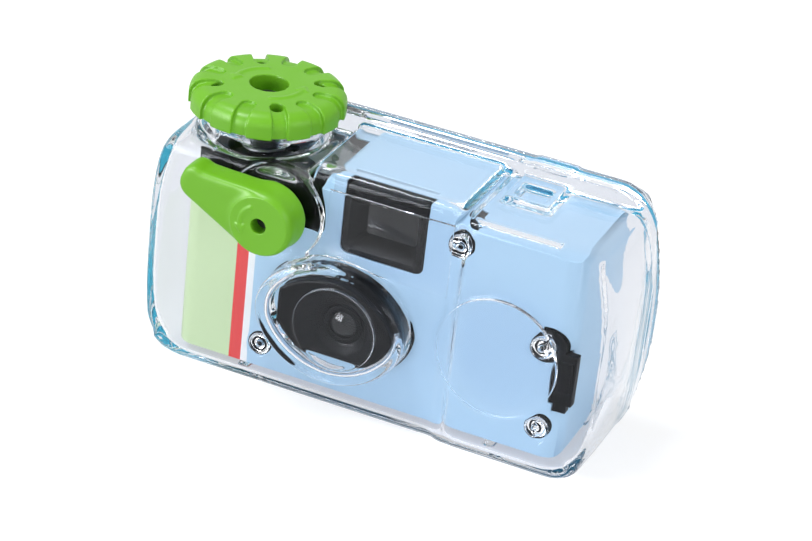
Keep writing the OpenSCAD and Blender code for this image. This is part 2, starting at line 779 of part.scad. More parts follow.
module front_cover() {
  color(black) difference() {
    union() {
      difference() {
        core(shell, cover_yf, -body_half);
        difference() {
          core(shell + cover_t, cover_in, -body_half + 1);
          box(core_x0, notch_x + 1.2, -30, 0, ledge_z - 1.4, 90);
          rod(lens_x, lens_z, -30, -body_half - 3, rear_lens_r + 1.4);
        }
        box(core_x0, notch_x, cover_yf - 1, 0, shelf_z, 90);
        box(plunger_x - 4, notch_x, cover_yf - 1, 0, ledge_z, 90);
        box(core_x0 + 2, plunger_x - 5.4, cover_in, 0, 0, shelf_z - 1.2);
        box(plunger_x - 2.8, notch_x + 1, cover_in, 0, 0, ledge_z - 1.4);
      }
      slab(core_yf - 0.4, cover_yf + 1) panel(-panel_rim);
      slab(panel_yf, cover_yf + 1) panel(0);
      box(plunger_x - 2.7, plunger_x + 2.7, cover_in - 0.2, -body_half, spring_z - 1.2, spring_z);
    }
    can_room();
    // room behind the panel, around the lens tube
    difference() {
      slab(panel_yf + 2.4, cover_in + e) panel(cover_t);
      rod(lens_x, lens_z, panel_yf, cover_in + 1, front_lens_r + 2);
    }
    // dished face around the lens
    translate([lens_x, panel_yf - 0.01, lens_z]) rotate([-90, 0, 0])
      cylinder(r1 = dish_r, r2 = front_lens_r + 1.3, h = 1.4);
    rod(lens_x, lens_z, panel_yf - 1, panel_yf + 2.2, front_lens_r + 0.9);
    rod(lens_x, lens_z, panel_yf - 1, panel_yf + 4.2, front_lens_r + fit);
    rod(lens_x, lens_z, panel_yf - 1, 0, rear_lens_r - 0.6);
    rod(lens_x, lens_z, -body_half - 5, 0, rear_lens_r + fit);
    box(sight_x0 - fit, sight_x1 + fit, -30, 0, sight_z0 - fit, 90);
    post(plunger_x, plunger_y, 10, 90, plunger_r + run);
  }
}

module viewfinder_frame() {
  color(black) difference() {
    slab(core_yf, -body_half - 0.05) rounded(sight_x0, sight_x1, sight_z0, sight_z1, sight_r);
    hull() {
      slab(core_yf - e, core_yf)
        rounded(sight_x0 + 1.6, sight_x1 - 1.4, sight_z0 + 1.6, sight_z1 - 2.8, 1.5);
      slab(-body_half - 2.1, -body_half - 2)
        rounded(sight_x0 + 4.6, sight_x1 - 4, sight_z0 + 4.4, sight_z1 - 5.6, 1);
    }
    box(sight_x0 + 4, sight_x1 - 3.4, -body_half - 2, 0, sight_z0 + 3.8, sight_z1 - 5);
  }
}

module viewfinder_lens() {
  color(clear_plastic)
    box(sight_x0 + 4 + fit, sight_x1 - 3.4 - fit, -body_half - 1.9, -body_half - 0.1,
      sight_z0 + 3.8 + fit, sight_z1 - 5 - fit);
}

module front_lens() {
  y0 = panel_yf + 2.2;
  color(clear_plastic) intersection() {
    rod(lens_x, lens_z, lens_tip - 0.1, y0 + 1.95, front_lens_r);
    union() {
      translate([lens_x, lens_tip + lens_ball_r, lens_z]) sphere(lens_ball_r);
      rod(lens_x, lens_z, y0 + 0.2, y0 + 1.95, front_lens_r);
    }
  }
}

module rear_lens() {
  y0 = -body_half - 5;
  color(clear_plastic) intersection() {
    rod(lens_x, lens_z, y0 + 0.05, y0 + 1.8, rear_lens_r);
    translate([lens_x, y0 + 1.8 - 9, lens_z]) sphere(9);
  }
}

module lens_retainer() {
  y0 = panel_yf;
  color(black) difference() {
    rod(lens_x, lens_z, y0 + 1.1, y0 + 2.15, front_lens_r + 0.85);
    rod(lens_x, lens_z, y0, y0 + 4, front_lens_r - 0.5);
    translate([lens_x, lens_tip + lens_ball_r, lens_z]) sphere(lens_ball_r + run);
  }
}

// side latch seen from the front, g outside its edge
module latch_outline(g) {
  translate([latch_x - 1, latch_z1 + 2.4]) circle(3.8 + g);
  translate([latch_x - g, latch_z0 - g]) square([6 + 2 * g, latch_z1 - latch_z0 + 1 + 2 * g]);
  translate([latch_x + 1.2 - g, latch_z0 - 2.2 - g]) square([3.6 + 2 * g, 4]);
}

module side_latch() {
  color(black) difference() {
    union() {
      slab(core_yf - 0.4, core_yf + 2) latch_outline(0);
      box(latch_x + 1.7, core_x1 + 0.4, core_yf - 0.9, core_yf + 4, latch_z0 + 3.8, latch_z1 - 0.8);
    }
    core(shell - fit / 2, core_yf, core_yb);
    rod(post_at[1][0], core_z0 + post_at[1][1], core_yf - 3, 0, post_r + 0.4);
  }
}

module camera_body() {
  color(black) difference() {
    union() {
      core(shell, -body_half, body_half);
      for (s = [-1, 1])
        box(lens_x - gate_w / 2 - 1, lens_x + gate_w / 2 + 1, 0, film_y - 0.05,
          lens_z + s * (gate_h / 2 + 1.1) - 0.9, lens_z + s * (gate_h / 2 + 1.1) + 0.9);
      rod(blade_x, blade_z, blade_y - 1.2, 0, 1);
    }
    can_room();
    post(dial_x, dial_y, can_z1 - 1, wheel_z, 4.4);
    post(dial_x, dial_y, wheel_z - 0.4, 90, 9.1);
    box(core_x0, dial_x, dial_y, film_y + 9, core_z0 - 1, can_z1 + fit);
    box(lens_x + gate_w / 2 + 2, supply_x - roll_r - 2.4, -30, body_half - 2.5, core_z0 + 3, sight_z0 - 2);
    box(sight_x1 + 1.5, core_x1 - 4, -30, body_half - 2, lens_z + film_w / 2 + 4, cam_top - 1.4);
    box(dial_x, lens_x - gate_w / 2 - 4, body_half - 4, film_y + 9, lens_z - film_w / 2 - 2,
      lens_z + film_w / 2 + 2);
    rod(lens_x, lens_z, -20, 0, 1.8);
    box(lens_x - 11, lens_x + 11, -7.6, 2, lens_z - 8, lens_z + 8);
    box(lens_x - gate_w / 2, lens_x + gate_w / 2, 1, 20, lens_z - gate_h / 2, lens_z + gate_h / 2);
    box(sight_x0 + 5, sight_x1 - 4.4, -20, 20, sight_z0 + 4.8, sight_z1 - 6);
    post(supply_x, supply_y, lens_z - film_w / 2 - 0.6, lens_z + film_w / 2 + 0.6, roll_r + 0.9);
    post(supply_x, supply_y, lens_z - film_w / 2 - 2.6, lens_z + film_w / 2 + 2.6, 1.5 + run);
    post(sprocket_x, sprocket_y, lens_z + film_w / 2 - 3.3, lens_z + film_w / 2 + 0.7, sprocket_r + 0.5);
    post(sprocket_x, sprocket_y, lens_z + film_w / 2 - 4.4, counter_z + 1, 1.2 + run);
    difference() {
      post(counter_x, counter_y, counter_z - 0.5, 90, counter_r + 0.4);
      post(counter_x, counter_y, 0, counter_z + 1.2, 1);
    }
    post(counter_x, counter_y, counter_z + 1.9, 90, counter_r + 0.8);
  }
}

module back_cover() {
  color(black) difference() {
    union() {
      difference() {
        core(shell, body_half, cover_yb);
        core(shell + cover_t, body_half - 1, cover_yb - cover_t);
      }
      for (s = [-1, 1])
        box(lens_x - gate_w / 2 - 1, lens_x + gate_w / 2 + 1, film_y + film_t + 0.05, cover_yb - 0.5,
          lens_z + s * (gate_h / 2 + 1.1) - 0.9, lens_z + s * (gate_h / 2 + 1.1) + 0.9);
    }
    can_room();
    slab(0, 30) rounded(-4, 6, sight_z0 + 4, core_z1 - 2, 1);
  }
}

module eyepiece() {
  color(clear_plastic) slab(cover_yb - cover_t - 1, cover_yb - 0.1)
    rounded(-4 + fit, 6 - fit, sight_z0 + 4 + fit, core_z1 - 2 - fit, 1 - fit);
}

module release_plunger() {
  color(black) {
    post(plunger_x, plunger_y, plunger_top - 1.1, plunger_top, 1.5 * plunger_r);
    post(plunger_x, plunger_y, spring_z - 2.6, plunger_top - 0.5, plunger_r);
    post(plunger_x, plunger_y, collar_z, collar_z + 1, 1.5 * plunger_r);
  }
}

// return spring: one wire coiled round the plunger
module release_spring() {
  turns = 5;
  ring = 10;
  side = 6;
  wire = 0.22;
  rise = collar_z - spring_z - 2 * wire - 0.1;
  n = turns * ring;
  pts = [for (i = [0 : n]) for (k = [0 : side - 1])
    let (a = 360 * i / ring, b = 360 * k / side, r = plunger_r + 0.1 + wire + wire * cos(b))
    [plunger_x + r * cos(a), plunger_y + r * sin(a),
      spring_z + 0.05 + wire + rise * i / n + wire * sin(b)]];
  sides = [for (i = [0 : n - 1]) for (k = [0 : side - 1])
    let (k2 = (k + 1) % side)
    [i * side + k, (i + 1) * side + k, (i + 1) * side + k2, i * side + k2]];
  ends = [[for (k = [0 : side - 1]) k], [for (k = [side - 1 : -1 : 0]) n * side + k]];
  echo(spring_gap = rise / turns - 2 * wire);
  color(steel) polyhedron(points = pts, faces = concat(sides, ends), convexity = 10);
}

module shutter_blade() {
  color(steel) difference() {
    union() {
      rod(blade_x, blade_z, blade_y, blade_y + 0.4, 2.4);
      rod(lens_x, lens_z, blade_y, blade_y + 0.4, 3.2);
      translate([blade_x, blade_y, blade_z])
        rotate([0, atan2(blade_z - lens_z, lens_x - blade_x), 0])
          translate([0, 0, -1.7]) cube([norm([lens_x - blade_x, lens_z - blade_z]), 0.4, 3.4]);
    }
    rod(blade_x, blade_z, blade_y - 1, blade_y + 1, 1 + run);
  }
}

module blade_spring() {
  color(steel) difference() {
    rod(blade_x, blade_z, blade_y + 0.7, -body_half, 1.7);
    rod(blade_x, blade_z, blade_y, 0, 1.05);
  }
}

module wind_wheel() {
  color(black) translate([dial_x, dial_y, 0]) {
    difference() {
      translate([0, 0, wheel_z]) cylinder(r = 8.5, h = wheel_h);
      for (i = [0 : 29])
        rotate([0, 0, 12 * i]) translate([8.9, 0, wheel_z - 1]) cylinder(r = 0.7, h = wheel_h + 2);
      translate([-3.4, -0.85, wheel_z + wheel_h - 1.9]) cube([6.8, 1.7, 5]);
    }
    translate([0, 0, wheel_z - 0.9]) cylinder(r = 3.6, h = 1);
    translate([-2.2, -0.6, wheel_z - 2.4]) cube([4.4, 1.2, 2]);
  }
}

module cartridge_spool() {
  color(black) difference() {
    union() {
      post(dial_x, dial_y, can_z0 + 0.1, wheel_z - 1, 3);
      post(dial_x, dial_y, can_z0 + 3, can_z1 - 3, 5.5);
      post(dial_x, dial_y, can_z0 + 2, can_z0 + 3.4, can_r - 1.2);
      post(dial_x, dial_y, can_z1 - 3.4, can_z1 - 2, can_r - 1.2);
    }
    box(dial_x - 2.4, dial_x + 2.4, dial_y - 0.7, dial_y + 0.7, wheel_z - 2.6, wheel_z);
  }
}

module cartridge_shell() {
  color(steel) difference() {
    union() {
      post(dial_x, dial_y, can_z0, can_z1, can_r);
      box(dial_x + 2, dial_x + 11, film_y - 1, film_y + 1.2, can_z0 + 1.6, can_z1 - 1.6);
    }
    post(dial_x, dial_y, can_z0 + 0.6, can_z1 - 0.6, can_r - 0.45);
    post(dial_x, dial_y, can_z0 - 1, can_z1 + 1, 3.3);
    box(dial_x + 1, dial_x + 12, film_y - 0.1, film_y + film_t + 0.1, lens_z - film_w / 2 - 0.3,
      lens_z + film_w / 2 + 0.3);
  }
}

module film_strip() {
  z0 = lens_z - film_w / 2;
  color([0.3, 0.25, 0.22]) difference() {
    box(dial_x + 4, supply_x, film_y, film_y + film_t, z0, z0 + film_w);
    for (i = [0 : 14])
      for (z = [z0 + 2, z0 + film_w - 4.8])
        box(dial_x + 6 + 4.75 * i, dial_x + 8 + 4.75 * i, film_y - 1, film_y + 1, z, z + 2.8);
  }
}

module film_roll() {
  color([0.3, 0.25, 0.22]) difference() {
    post(supply_x, supply_y, lens_z - film_w / 2, lens_z + film_w / 2, roll_r);
    post(supply_x, supply_y, 0, 90, 4.02);
  }
}

module supply_spool() {
  color(black) {
    post(supply_x, supply_y, lens_z - film_w / 2, lens_z + film_w / 2, 4);
    post(supply_x, supply_y, lens_z - film_w / 2 - 2.4, lens_z + film_w / 2 + 2.4, 1.5);
  }
}

module film_sprocket() {
  z0 = lens_z + film_w / 2 - 3;
  color(black) translate([sprocket_x, sprocket_y, 0]) {
    translate([0, 0, z0]) cylinder(r = sprocket_r - 0.9, h = 3.4);
    for (i = [0 : 7])
      rotate([0, 0, 45 * i + 22]) translate([sprocket_r - 2, -0.7, z0 + 0.6]) cube([1.9, 1.4, 1.8]);
    translate([0, 0, z0 - 1.2]) cylinder(r = 1.2, h = counter_z - 0.9 - z0 + 1.2);
  }
}

module counter_disc() {
  color([0.9, 0.9, 0.88]) translate([counter_x, counter_y, counter_z]) difference() {
    cylinder(r = counter_r, h = 0.8);
    translate([0, 0, -1]) cylinder(r = 1 + run, h = 4);
    for (i = [0 : 29])
      rotate([0, 0, 12 * i]) translate([counter_r, 0, -1]) cylinder(r = 0.35, h = 4);
  }
}

module counter_window() {
  color(clear_plastic) post(counter_x, counter_y, counter_z + 1.95, cam_top, counter_r + 0.75);
}

front_case();
rear_case();
case_seal();
advance_dial();
dial_shaft();
dial_screw();
dial_circlip();
dial_o_ring();
shutter_lever();
lever_shaft();
lever_screw();
lever_o_ring();
release_cam();
card_sleeve();
front_cover();
viewfinder_frame();
viewfinder_lens();
front_lens();
rear_lens();
lens_retainer();
side_latch();
camera_body();
back_cover();
eyepiece();
release_plunger();
release_spring();
shutter_blade();
blade_spring();
wind_wheel();
cartridge_spool();
cartridge_shell();
film_strip();
film_roll();
supply_spool();
film_sprocket();
counter_disc();
counter_window();
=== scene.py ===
"""Waterproof single-use film camera: looks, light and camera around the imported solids."""

import json
import math

import bmesh
import bpy
from mathutils import Matrix, Vector


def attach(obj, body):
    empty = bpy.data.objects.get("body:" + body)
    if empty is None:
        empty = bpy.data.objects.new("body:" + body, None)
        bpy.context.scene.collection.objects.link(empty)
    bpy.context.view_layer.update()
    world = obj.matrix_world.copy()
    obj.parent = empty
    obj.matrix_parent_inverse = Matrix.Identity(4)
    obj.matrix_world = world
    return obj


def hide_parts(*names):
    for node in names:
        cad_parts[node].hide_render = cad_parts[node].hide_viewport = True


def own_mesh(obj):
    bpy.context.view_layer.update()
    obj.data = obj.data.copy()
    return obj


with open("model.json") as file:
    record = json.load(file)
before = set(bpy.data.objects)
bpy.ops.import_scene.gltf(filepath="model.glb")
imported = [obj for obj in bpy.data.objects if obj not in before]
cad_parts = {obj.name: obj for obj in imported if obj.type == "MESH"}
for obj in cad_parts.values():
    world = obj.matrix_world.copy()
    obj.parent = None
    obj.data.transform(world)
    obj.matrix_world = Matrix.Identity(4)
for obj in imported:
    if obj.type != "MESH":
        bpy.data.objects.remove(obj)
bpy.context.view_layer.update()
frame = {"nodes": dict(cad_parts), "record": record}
home = {node: body for body, nodes in frame["record"]["behaviour"]["bodies"].items() for node in nodes}

MM = 0.001

# The photograph's frame and where it was taken from
PHOTO_W = 812
AZIMUTH, ELEVATION, ROLL = 21.02, 28.57, 6.56
DISTANCE = 699.4 * MM
LOOK_AT = Vector((1.07, 0.0, 33.67)) * MM
FOCAL_PX = 2800
SENSOR_MM = 36

# Places in mm: x to the right, y to the back, z up; on the front they are (x, z), the dial's is (x, y)
LENS_AT = (-5.5, 26.2)
WINDOW_AT, WINDOW_R = (-5.5, 27.5), 11
PAD_AT, PAD_R, PAD_PLATE_R = (35, 30), 16, 15.6
SIGHT_LEFT, SIGHT_FOOT, SIGHT_W, SIGHT_H = -13, 41.3, 33, 19.5
POST_AT = (21.3, 54.9)
LEVER_AT, LEVER_BORE_R = (-26.3, 51.4), 2.55
DIAL_AT, DIAL_BORE_R = (-39.9, -1.6), 3.55
FRONT_FLANGE_Y, REAR_FLANGE_Y = 7.3, 16.2
# Depths just behind the faces of the port, the round pad and the sight pad, and behind the front wall
BEHIND_PORT, BEHIND_PAD, BEHIND_SIGHT, BEHIND_WALL = -26, -20.4, -19, -17

# Corners that bend more than this stay sharp
SHARP = math.radians(38)


def photo_camera():
    """Camera at the photograph's place, turned by its roll."""
    a, e, r = (math.radians(v) for v in (AZIMUTH, ELEVATION, ROLL))
    back = Vector((math.sin(a) * math.cos(e), -math.cos(a) * math.cos(e), math.sin(e)))
    level = Vector((math.cos(a), math.sin(a), 0))
    upright = back.cross(level)
    right = math.cos(r) * level + math.sin(r) * upright
    up = math.cos(r) * upright - math.sin(r) * level
    data = bpy.data.cameras.new("photo_camera")
    data.sensor_width = SENSOR_MM
    data.lens = FOCAL_PX / PHOTO_W * SENSOR_MM
    data.clip_start, data.clip_end = 0.01, 20
    camera = bpy.data.objects.new("photo_camera", data)
    turn = Matrix((right, up, back)).transposed().to_4x4()
    camera.matrix_world = Matrix.Translation(LOOK_AT + back * DISTANCE) @ turn
    bpy.context.collection.objects.link(camera)
    bpy.context.scene.camera = camera


photo_camera()


# Materials

def linear(code):
    """sRGB hex such as '8FC850' as linear RGBA."""
    parts = [int(code[i:i + 2], 16) / 255 for i in (0, 2, 4)]
    return [c / 12.92 if c <= 0.04045 else ((c + 0.055) / 1.055) ** 2.4 for c in parts] + [1.0]


def add(tree, kind, settings=None, links=None):
    """Adds a node: settings are its properties or socket values, links its inputs' sources."""
    node = tree.nodes.new("ShaderNode" + kind)
    for key, value in (settings or {}).items():
        if isinstance(key, str) and hasattr(node, key):
            setattr(node, key, value)
        else:
            node.inputs[key].default_value = value
    for key, source in (links or {}).items():
        tree.links.new(source, node.inputs[key])
    return node


def material(name):
    """An empty node material, with its tree, output and Object coordinates."""
    mat = bpy.data.materials.new(name)
    mat.use_nodes = True
    tree = mat.node_tree
    tree.nodes.clear()
    out = add(tree, "OutputMaterial")
    place = add(tree, "TexCoord").outputs["Object"]
    return mat, tree, out, place


def clear_plastic(name, tint, roughness, haze, ior, shine):
    """Clear moulded plastic: sharp gloss, faint flow marks and handling haze; lamps shine through."""
    mat, tree, out, place = material(name)
    # flow marks are 20 mm swells in the skin, haze the 6 mm patches that fingers leave
    swell = add(tree, "TexNoise", {"Scale": 1 / (20 * MM), "Detail": 1.0}, {"Vector": place})
    skin = add(tree, "Bump", {"Strength": 0.15, "Distance": 0.2 * MM}, {"Height": swell.outputs["Fac"]})
    patch = add(tree, "TexNoise", {"Scale": 1 / (6 * MM), "Detail": 4.0, "Roughness": 0.6},
                {"Vector": place})
    dull = add(tree, "MapRange",
               {"From Min": 0.45, "From Max": 0.75, "To Min": roughness, "To Max": haze},
               {"Value": patch.outputs["Fac"]})
    body = add(tree, "BsdfPrincipled",
               {"Base Color": linear(tint), "IOR": ior, "Transmission Weight": 1.0,
                "Specular Tint": linear(shine)},
               {"Roughness": dull.outputs[0], "Normal": skin.outputs[0]})
    through = add(tree, "BsdfTransparent", {"Color": linear("F4F6FA")})
    path = add(tree, "LightPath")
    glow = add(tree, "MixShader", None,
               {0: path.outputs["Is Diffuse Ray"], 1: body.outputs[0], 2: through.outputs[0]})
    both = add(tree, "MixShader", None,
               {0: path.outputs["Is Shadow Ray"], 1: glow.outputs[0], 2: through.outputs[0]})
    tree.links.new(both.outputs[0], out.inputs["Surface"])
    return mat


def moulded(name, colour, shade, roughness, worn, grain, depth, shine=0.5):
    """Opaque moulded skin: spark-eroded grain, faint colour drift, and gloss that varies with handling."""
    mat, tree, out, place = material(name)
    drift = add(tree, "TexNoise", {"Scale": 1 / (9 * MM), "Detail": 3.0}, {"Vector": place})
    tone = add(tree, "Mix", {"data_type": "RGBA", 6: linear(colour), 7: linear(shade)},
               {0: drift.outputs["Fac"]})
    gloss = add(tree, "MapRange",
                {"From Min": 0.35, "From Max": 0.65, "To Min": roughness, "To Max": worn},
                {"Value": drift.outputs["Fac"]})
    spark = add(tree, "TexNoise", {"Scale": 1 / (grain * MM), "Detail": 2.0}, {"Vector": place})
    skin = add(tree, "Bump", {"Strength": 0.5, "Distance": depth * MM}, {"Height": spark.outputs["Fac"]})
    body = add(tree, "BsdfPrincipled", {"IOR": 1.5, "Specular IOR Level": shine},
               {"Base Color": tone.outputs[2], "Roughness": gloss.outputs[0], "Normal": skin.outputs[0]})
    tree.links.new(body.outputs[0], out.inputs["Surface"])
    return mat


def coated_card():
    """Printed coated card: pale green, red and white bands before light blue, and fibre in its skin."""
    mat, tree, out, place = material("coated_card")
    axes = add(tree, "SeparateXYZ", None, {0: place})
    left, right = -60.0, 60.0
    across = add(tree, "MapRange", {"From Min": left * MM, "From Max": right * MM},
                 {"Value": axes.outputs["X"]})
    ink = add(tree, "ValToRGB", None, {0: across.outputs[0]})
    ink.color_ramp.interpolation = "CONSTANT"
    # each band runs from its left edge in mm to the next one's
    bands = [(left, "D2E6B2"), (-38.1, "F04240"), (-35.1, "FFFEFA"), (-33.1, "B8D9EE")]
    while len(ink.color_ramp.elements) < len(bands):
        ink.color_ramp.elements.new(1.0)
    for element, (x, colour) in zip(ink.color_ramp.elements, bands):
        element.position = (x - left) / (right - left)
        element.color = linear(colour)
    # fibres are drawn 0.6 mm across, coarser than real ones, so that they show
    fibre = add(tree, "TexNoise", {"Scale": 1 / (0.6 * MM), "Detail": 3.0}, {"Vector": place})
    skin = add(tree, "Bump", {"Strength": 0.3, "Distance": 0.03 * MM}, {"Height": fibre.outputs["Fac"]})
    body = add(tree, "BsdfPrincipled", {"Roughness": 0.38, "IOR": 1.45},
               {"Base Color": ink.outputs[0], "Normal": skin.outputs[0]})
    tree.links.new(body.outputs[0], out.inputs["Surface"])
    return mat


def plated_steel():
    """Zinc-plated steel: bright, with a fine mottle of dull and shiny zinc."""
    mat, tree, out, place = material("zinc_plated_steel")
    mottle = add(tree, "TexNoise", {"Scale": 1 / (0.3 * MM), "Detail": 2.0}, {"Vector": place})
    dull = add(tree, "MapRange", {"To Min": 0.22, "To Max": 0.42}, {"Value": mottle.outputs["Fac"]})
    body = add(tree, "BsdfPrincipled", {"Base Color": linear("C4C6C8"), "Metallic": 1.0},
               {"Roughness": dull.outputs[0]})
    tree.links.new(body.outputs[0], out.inputs["Surface"])
    return mat


# Polished polystyrene: water-clear with a cold tint, its reflections dimmed so that black stays black
clear = clear_plastic("clear_polystyrene", "EFF1F5", 0.01, 0.04, 1.5, "74777B")
# The same at the lens window: a thin bright rim, and no second veil over the lens
clear_rim = clear_plastic("clear_polystyrene_rim", "FFFFFF", 0.01, 0.02, 1.5, "404346")
# The same at a shallow step: the low IOR leaves only a faint edge
faint_rim = clear_plastic("clear_polystyrene_faint_rim", "FFFFFF", 0.01, 0.02, 1.2, "FFFFFF")
# Lens acrylic: clearer and smoother than the case
acrylic = clear_plastic("lens_acrylic", "FFFFFF", 0.005, 0.02, 1.49, "FFFFFF")
# Lens acrylic tinted deep grey: painted shade of the dark chamber behind it, with bright spots of the lamps
shade_tinted_acrylic = clear_plastic("lens_acrylic_painted_shade", "303236", 0.05, 0.08, 1.49, "FFFFFF")
# Polypropylene: satin, waxy, lime green right through
green = moulded("green_polypropylene", "68A91E", "63A419", 0.36, 0.46, 0.35, 0.012, 0.3)
# Black polystyrene: deep, with a low satin sheen
black = moulded("black_polystyrene", "0C0C0D", "0A0A0B", 0.34, 0.44, 0.3, 0.008, 0.08)
# White polystyrene: warm off-white satin
white = moulded("white_polystyrene", "EDECE8", "E6E5E0", 0.35, 0.45, 0.35, 0.012)
# Silicone: even, bright teal with a soft sheen
teal = moulded("teal_silicone", "10A2C4", "0C98B8", 0.4, 0.5, 0.5, 0.01)
# Nitrile: dull black rubber
nitrile = moulded("black_nitrile", "161617", "1C1C1D", 0.5, 0.62, 0.25, 0.02)
# Stoved enamel on a tin can: glossy slate grey
enamel = moulded("can_enamel", "3C4148", "363A41", 0.25, 0.34, 0.8, 0.006)
# Film base: glossy brown
film = moulded("film_base", "4A3A34", "43332E", 0.2, 0.28, 0.5, 0.004)
# Black oxide on steel: near black, lightly shiny; on the lever screw and shutter blade the near black is
# also painted shade of the lever's deep hole and of the dark chamber behind the lens
oxide_and_painted_shade = moulded("black_oxide_steel_and_painted_shade", "1B1B1D", "222224", 0.3, 0.4, 0.3, 0.01)
steel = plated_steel()
card = coated_card()


def paint(mat, names):
    """Gives CAD nodes a material."""
    for name in names.split():
        for held in frame["nodes"][name].material_slots:
            held.link = "OBJECT"
            held.material = mat


paint(acrylic, "rear_lens eyepiece counter_window")
# the viewfinder lens is tinted deep grey: painted shade of the dark inside behind it
paint(shade_tinted_acrylic, "viewfinder_lens")
paint(steel, "dial_circlip lever_shaft blade_spring")
# the lever screw and shutter blade are near black as painted shade of the deep hole and the chamber behind
# the lens
paint(oxide_and_painted_shade, "lever_screw dial_screw shutter_blade")
paint(enamel, "cartridge_shell")
paint(nitrile, "dial_o_ring lever_o_ring")
paint(white, "counter_disc")
paint(film, "film_strip film_roll")
paint(black, "dial_shaft release_cam camera_body back_cover "
             "release_plunger wind_wheel cartridge_spool supply_spool film_sprocket")


# Pieces that stand for CAD nodes

def merged(names):
    """A copy of CAD nodes' solids with their loose triangles joined."""
    b = bmesh.new()
    for name in names.split():
        b.from_mesh(frame["nodes"][name].data)
    bmesh.ops.remove_doubles(b, verts=b.verts, dist=0.002 * MM)
    return b


def cast(b, name, node, mat):
    """A finished mesh as a smooth piece that stands for a CAD node."""
    mesh = bpy.data.meshes.new(name)
    b.to_mesh(mesh)
    b.free()
    mesh.materials.append(mat)
    mesh.polygons.foreach_set("use_smooth", [True] * len(mesh.polygons))
    piece = bpy.data.objects.new(name, mesh)
    bpy.context.collection.objects.link(piece)
    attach(piece, home[node])
    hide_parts(node)
    return piece


def crisp(piece):
    """Keeps a piece's sharp edges sharp and its flat faces flat."""
    piece.data.set_sharp_from_angle(angle=SHARP)
    flat = piece.modifiers.new("flat_faces", "WEIGHTED_NORMAL")
    flat.keep_sharp = True


def room_beside(edge):
    """The way across the narrower of the two faces beside an edge, from the edge's middle."""
    ways = []
    for loop in edge.link_loops:
        start = (edge.verts[0].co + edge.verts[1].co) / 2
        along = (loop.link_loop_next.vert.co - loop.vert.co).normalized()
        into = loop.face.normal.cross(along)
        far = [Vector(((v.co - start).dot(along), (v.co - start).dot(into))) for v in loop.face.verts]
        sides = [(p, q) for p, q in zip(far, far[1:] + far[:1]) if p.x * q.x <= 0 and p.x != q.x]
        across = [p.y - p.x * (q.y - p.y) / (q.x - p.x) for p, q in sides]
        ways.append(min((w for w in across if w > 0.001 * MM), default=0))
    return min(ways)


def softened(name, mat, width, steps, chosen):
    """A CAD node's solid with its chosen sharp edges rounded, in mm, as the mould leaves them."""
    b = merged(name)
    bmesh.ops.dissolve_limit(b, angle_limit=math.radians(0.2), verts=b.verts, edges=b.edges)
    edges = [e for e in b.edges if e.calc_face_angle(0) > math.radians(40)
             and room_beside(e) > 2.2 * width * MM and chosen((e.verts[0].co + e.verts[1].co) / 2 / MM)]
    bmesh.ops.bevel(b, geom=edges, offset=width * MM, offset_type="OFFSET", affect="EDGES", segments=steps,
                    profile=0.5, material=-1, clamp_overlap=False)
    bmesh.ops.triangulate(b, faces=b.faces)
    crisp(cast(b, name + "_moulded", name, mat))


def in_cells(names, cell):
    """The solids of CAD nodes as one skin of even cells, in mm, ready to be smoothed."""
    solid = bpy.data.meshes.new("solid")
    b = merged(names)
    b.to_mesh(solid)
    b.free()
    piece = bpy.data.objects.new("solid", solid)
    bpy.context.collection.objects.link(piece)
    skin = piece.modifiers.new("skin", "REMESH")
    skin.mode, skin.voxel_size = "VOXEL", cell * MM
    even = bpy.data.meshes.new_from_object(piece.evaluated_get(bpy.context.evaluated_depsgraph_get()))
    bpy.data.objects.remove(piece)
    b = bmesh.new()
    b.from_mesh(even)
    return b


def everywhere(p):
    """Any place."""
    return True


def off_axis(p, middle):
    """How far a place is from a front-to-back axis."""
    return math.hypot(p.x - middle[0], p.z - middle[1])


def smooth(b, chosen, rounds):
    """Draws vertices towards their neighbours, round by round; chosen takes a vertex's place in mm."""
    verts = [v for v in b.verts if chosen(v.co / MM)]
    for _ in range(rounds):
        bmesh.ops.smooth_vert(b, verts=verts, factor=0.5, use_axis_x=True, use_axis_y=True, use_axis_z=True)


def even_ends(b):
    """Evens out a shell's bowed end walls, inside and outside, above its foot."""
    b.normal_update()
    wall = [v for v in b.verts if abs(v.normal.x) > 0.6 and abs(v.co.x) > 50 * MM and v.co.z > 6 * MM]
    for _ in range(200):
        bmesh.ops.smooth_vert(b, verts=wall, factor=0.5, use_axis_x=True, use_axis_y=False, use_axis_z=False)


def true_bore(b, across, middle, radius, start, end):
    """Sets a bore's wall back onto its round; across gives the axes square to it, start and end bound it."""
    i, j = across
    along = 3 - i - j
    for v in b.verts:
        off = Vector((v.co[i], v.co[j])) - Vector(middle) * MM
        near = 0.5 * radius * MM < off.length < (radius + 0.35) * MM
        if near and start * MM < v.co[along] < end * MM:
            off *= radius * MM / off.length
            v.co[i], v.co[j] = off.x + middle[0] * MM, off.y + middle[1] * MM


def front_is_soft(p):
    """The front shell ahead of its flange, away from the rims of lens window, round pad and sight pad."""
    rim = 1.2
    window = p.y < BEHIND_PORT and abs(off_axis(p, WINDOW_AT) - WINDOW_R) < rim
    pad = p.y < BEHIND_PAD and abs(off_axis(p, PAD_AT) - PAD_R) < rim
    beside_sight = abs(p.x - SIGHT_LEFT) < rim or abs(p.z - SIGHT_FOOT) < rim
    sight = p.y < BEHIND_SIGHT and -14.3 < p.x < 21 and p.z > 40 and beside_sight
    return p.y < FRONT_FLANGE_Y and not (window or pad or sight)


def seam(p):
    """The wave in the front wall between the lens side and the grip side, clear of the post behind it."""
    return 16 < p.x < 25.5 and p.y < BEHIND_WALL and off_axis(p, POST_AT) > 3.2


def bowed_end(p):
    """The two ends of the front shell, ahead of its flange and above its foot."""
    return abs(p.x) > 46 and p.z > 5 and p.y < FRONT_FLANGE_Y


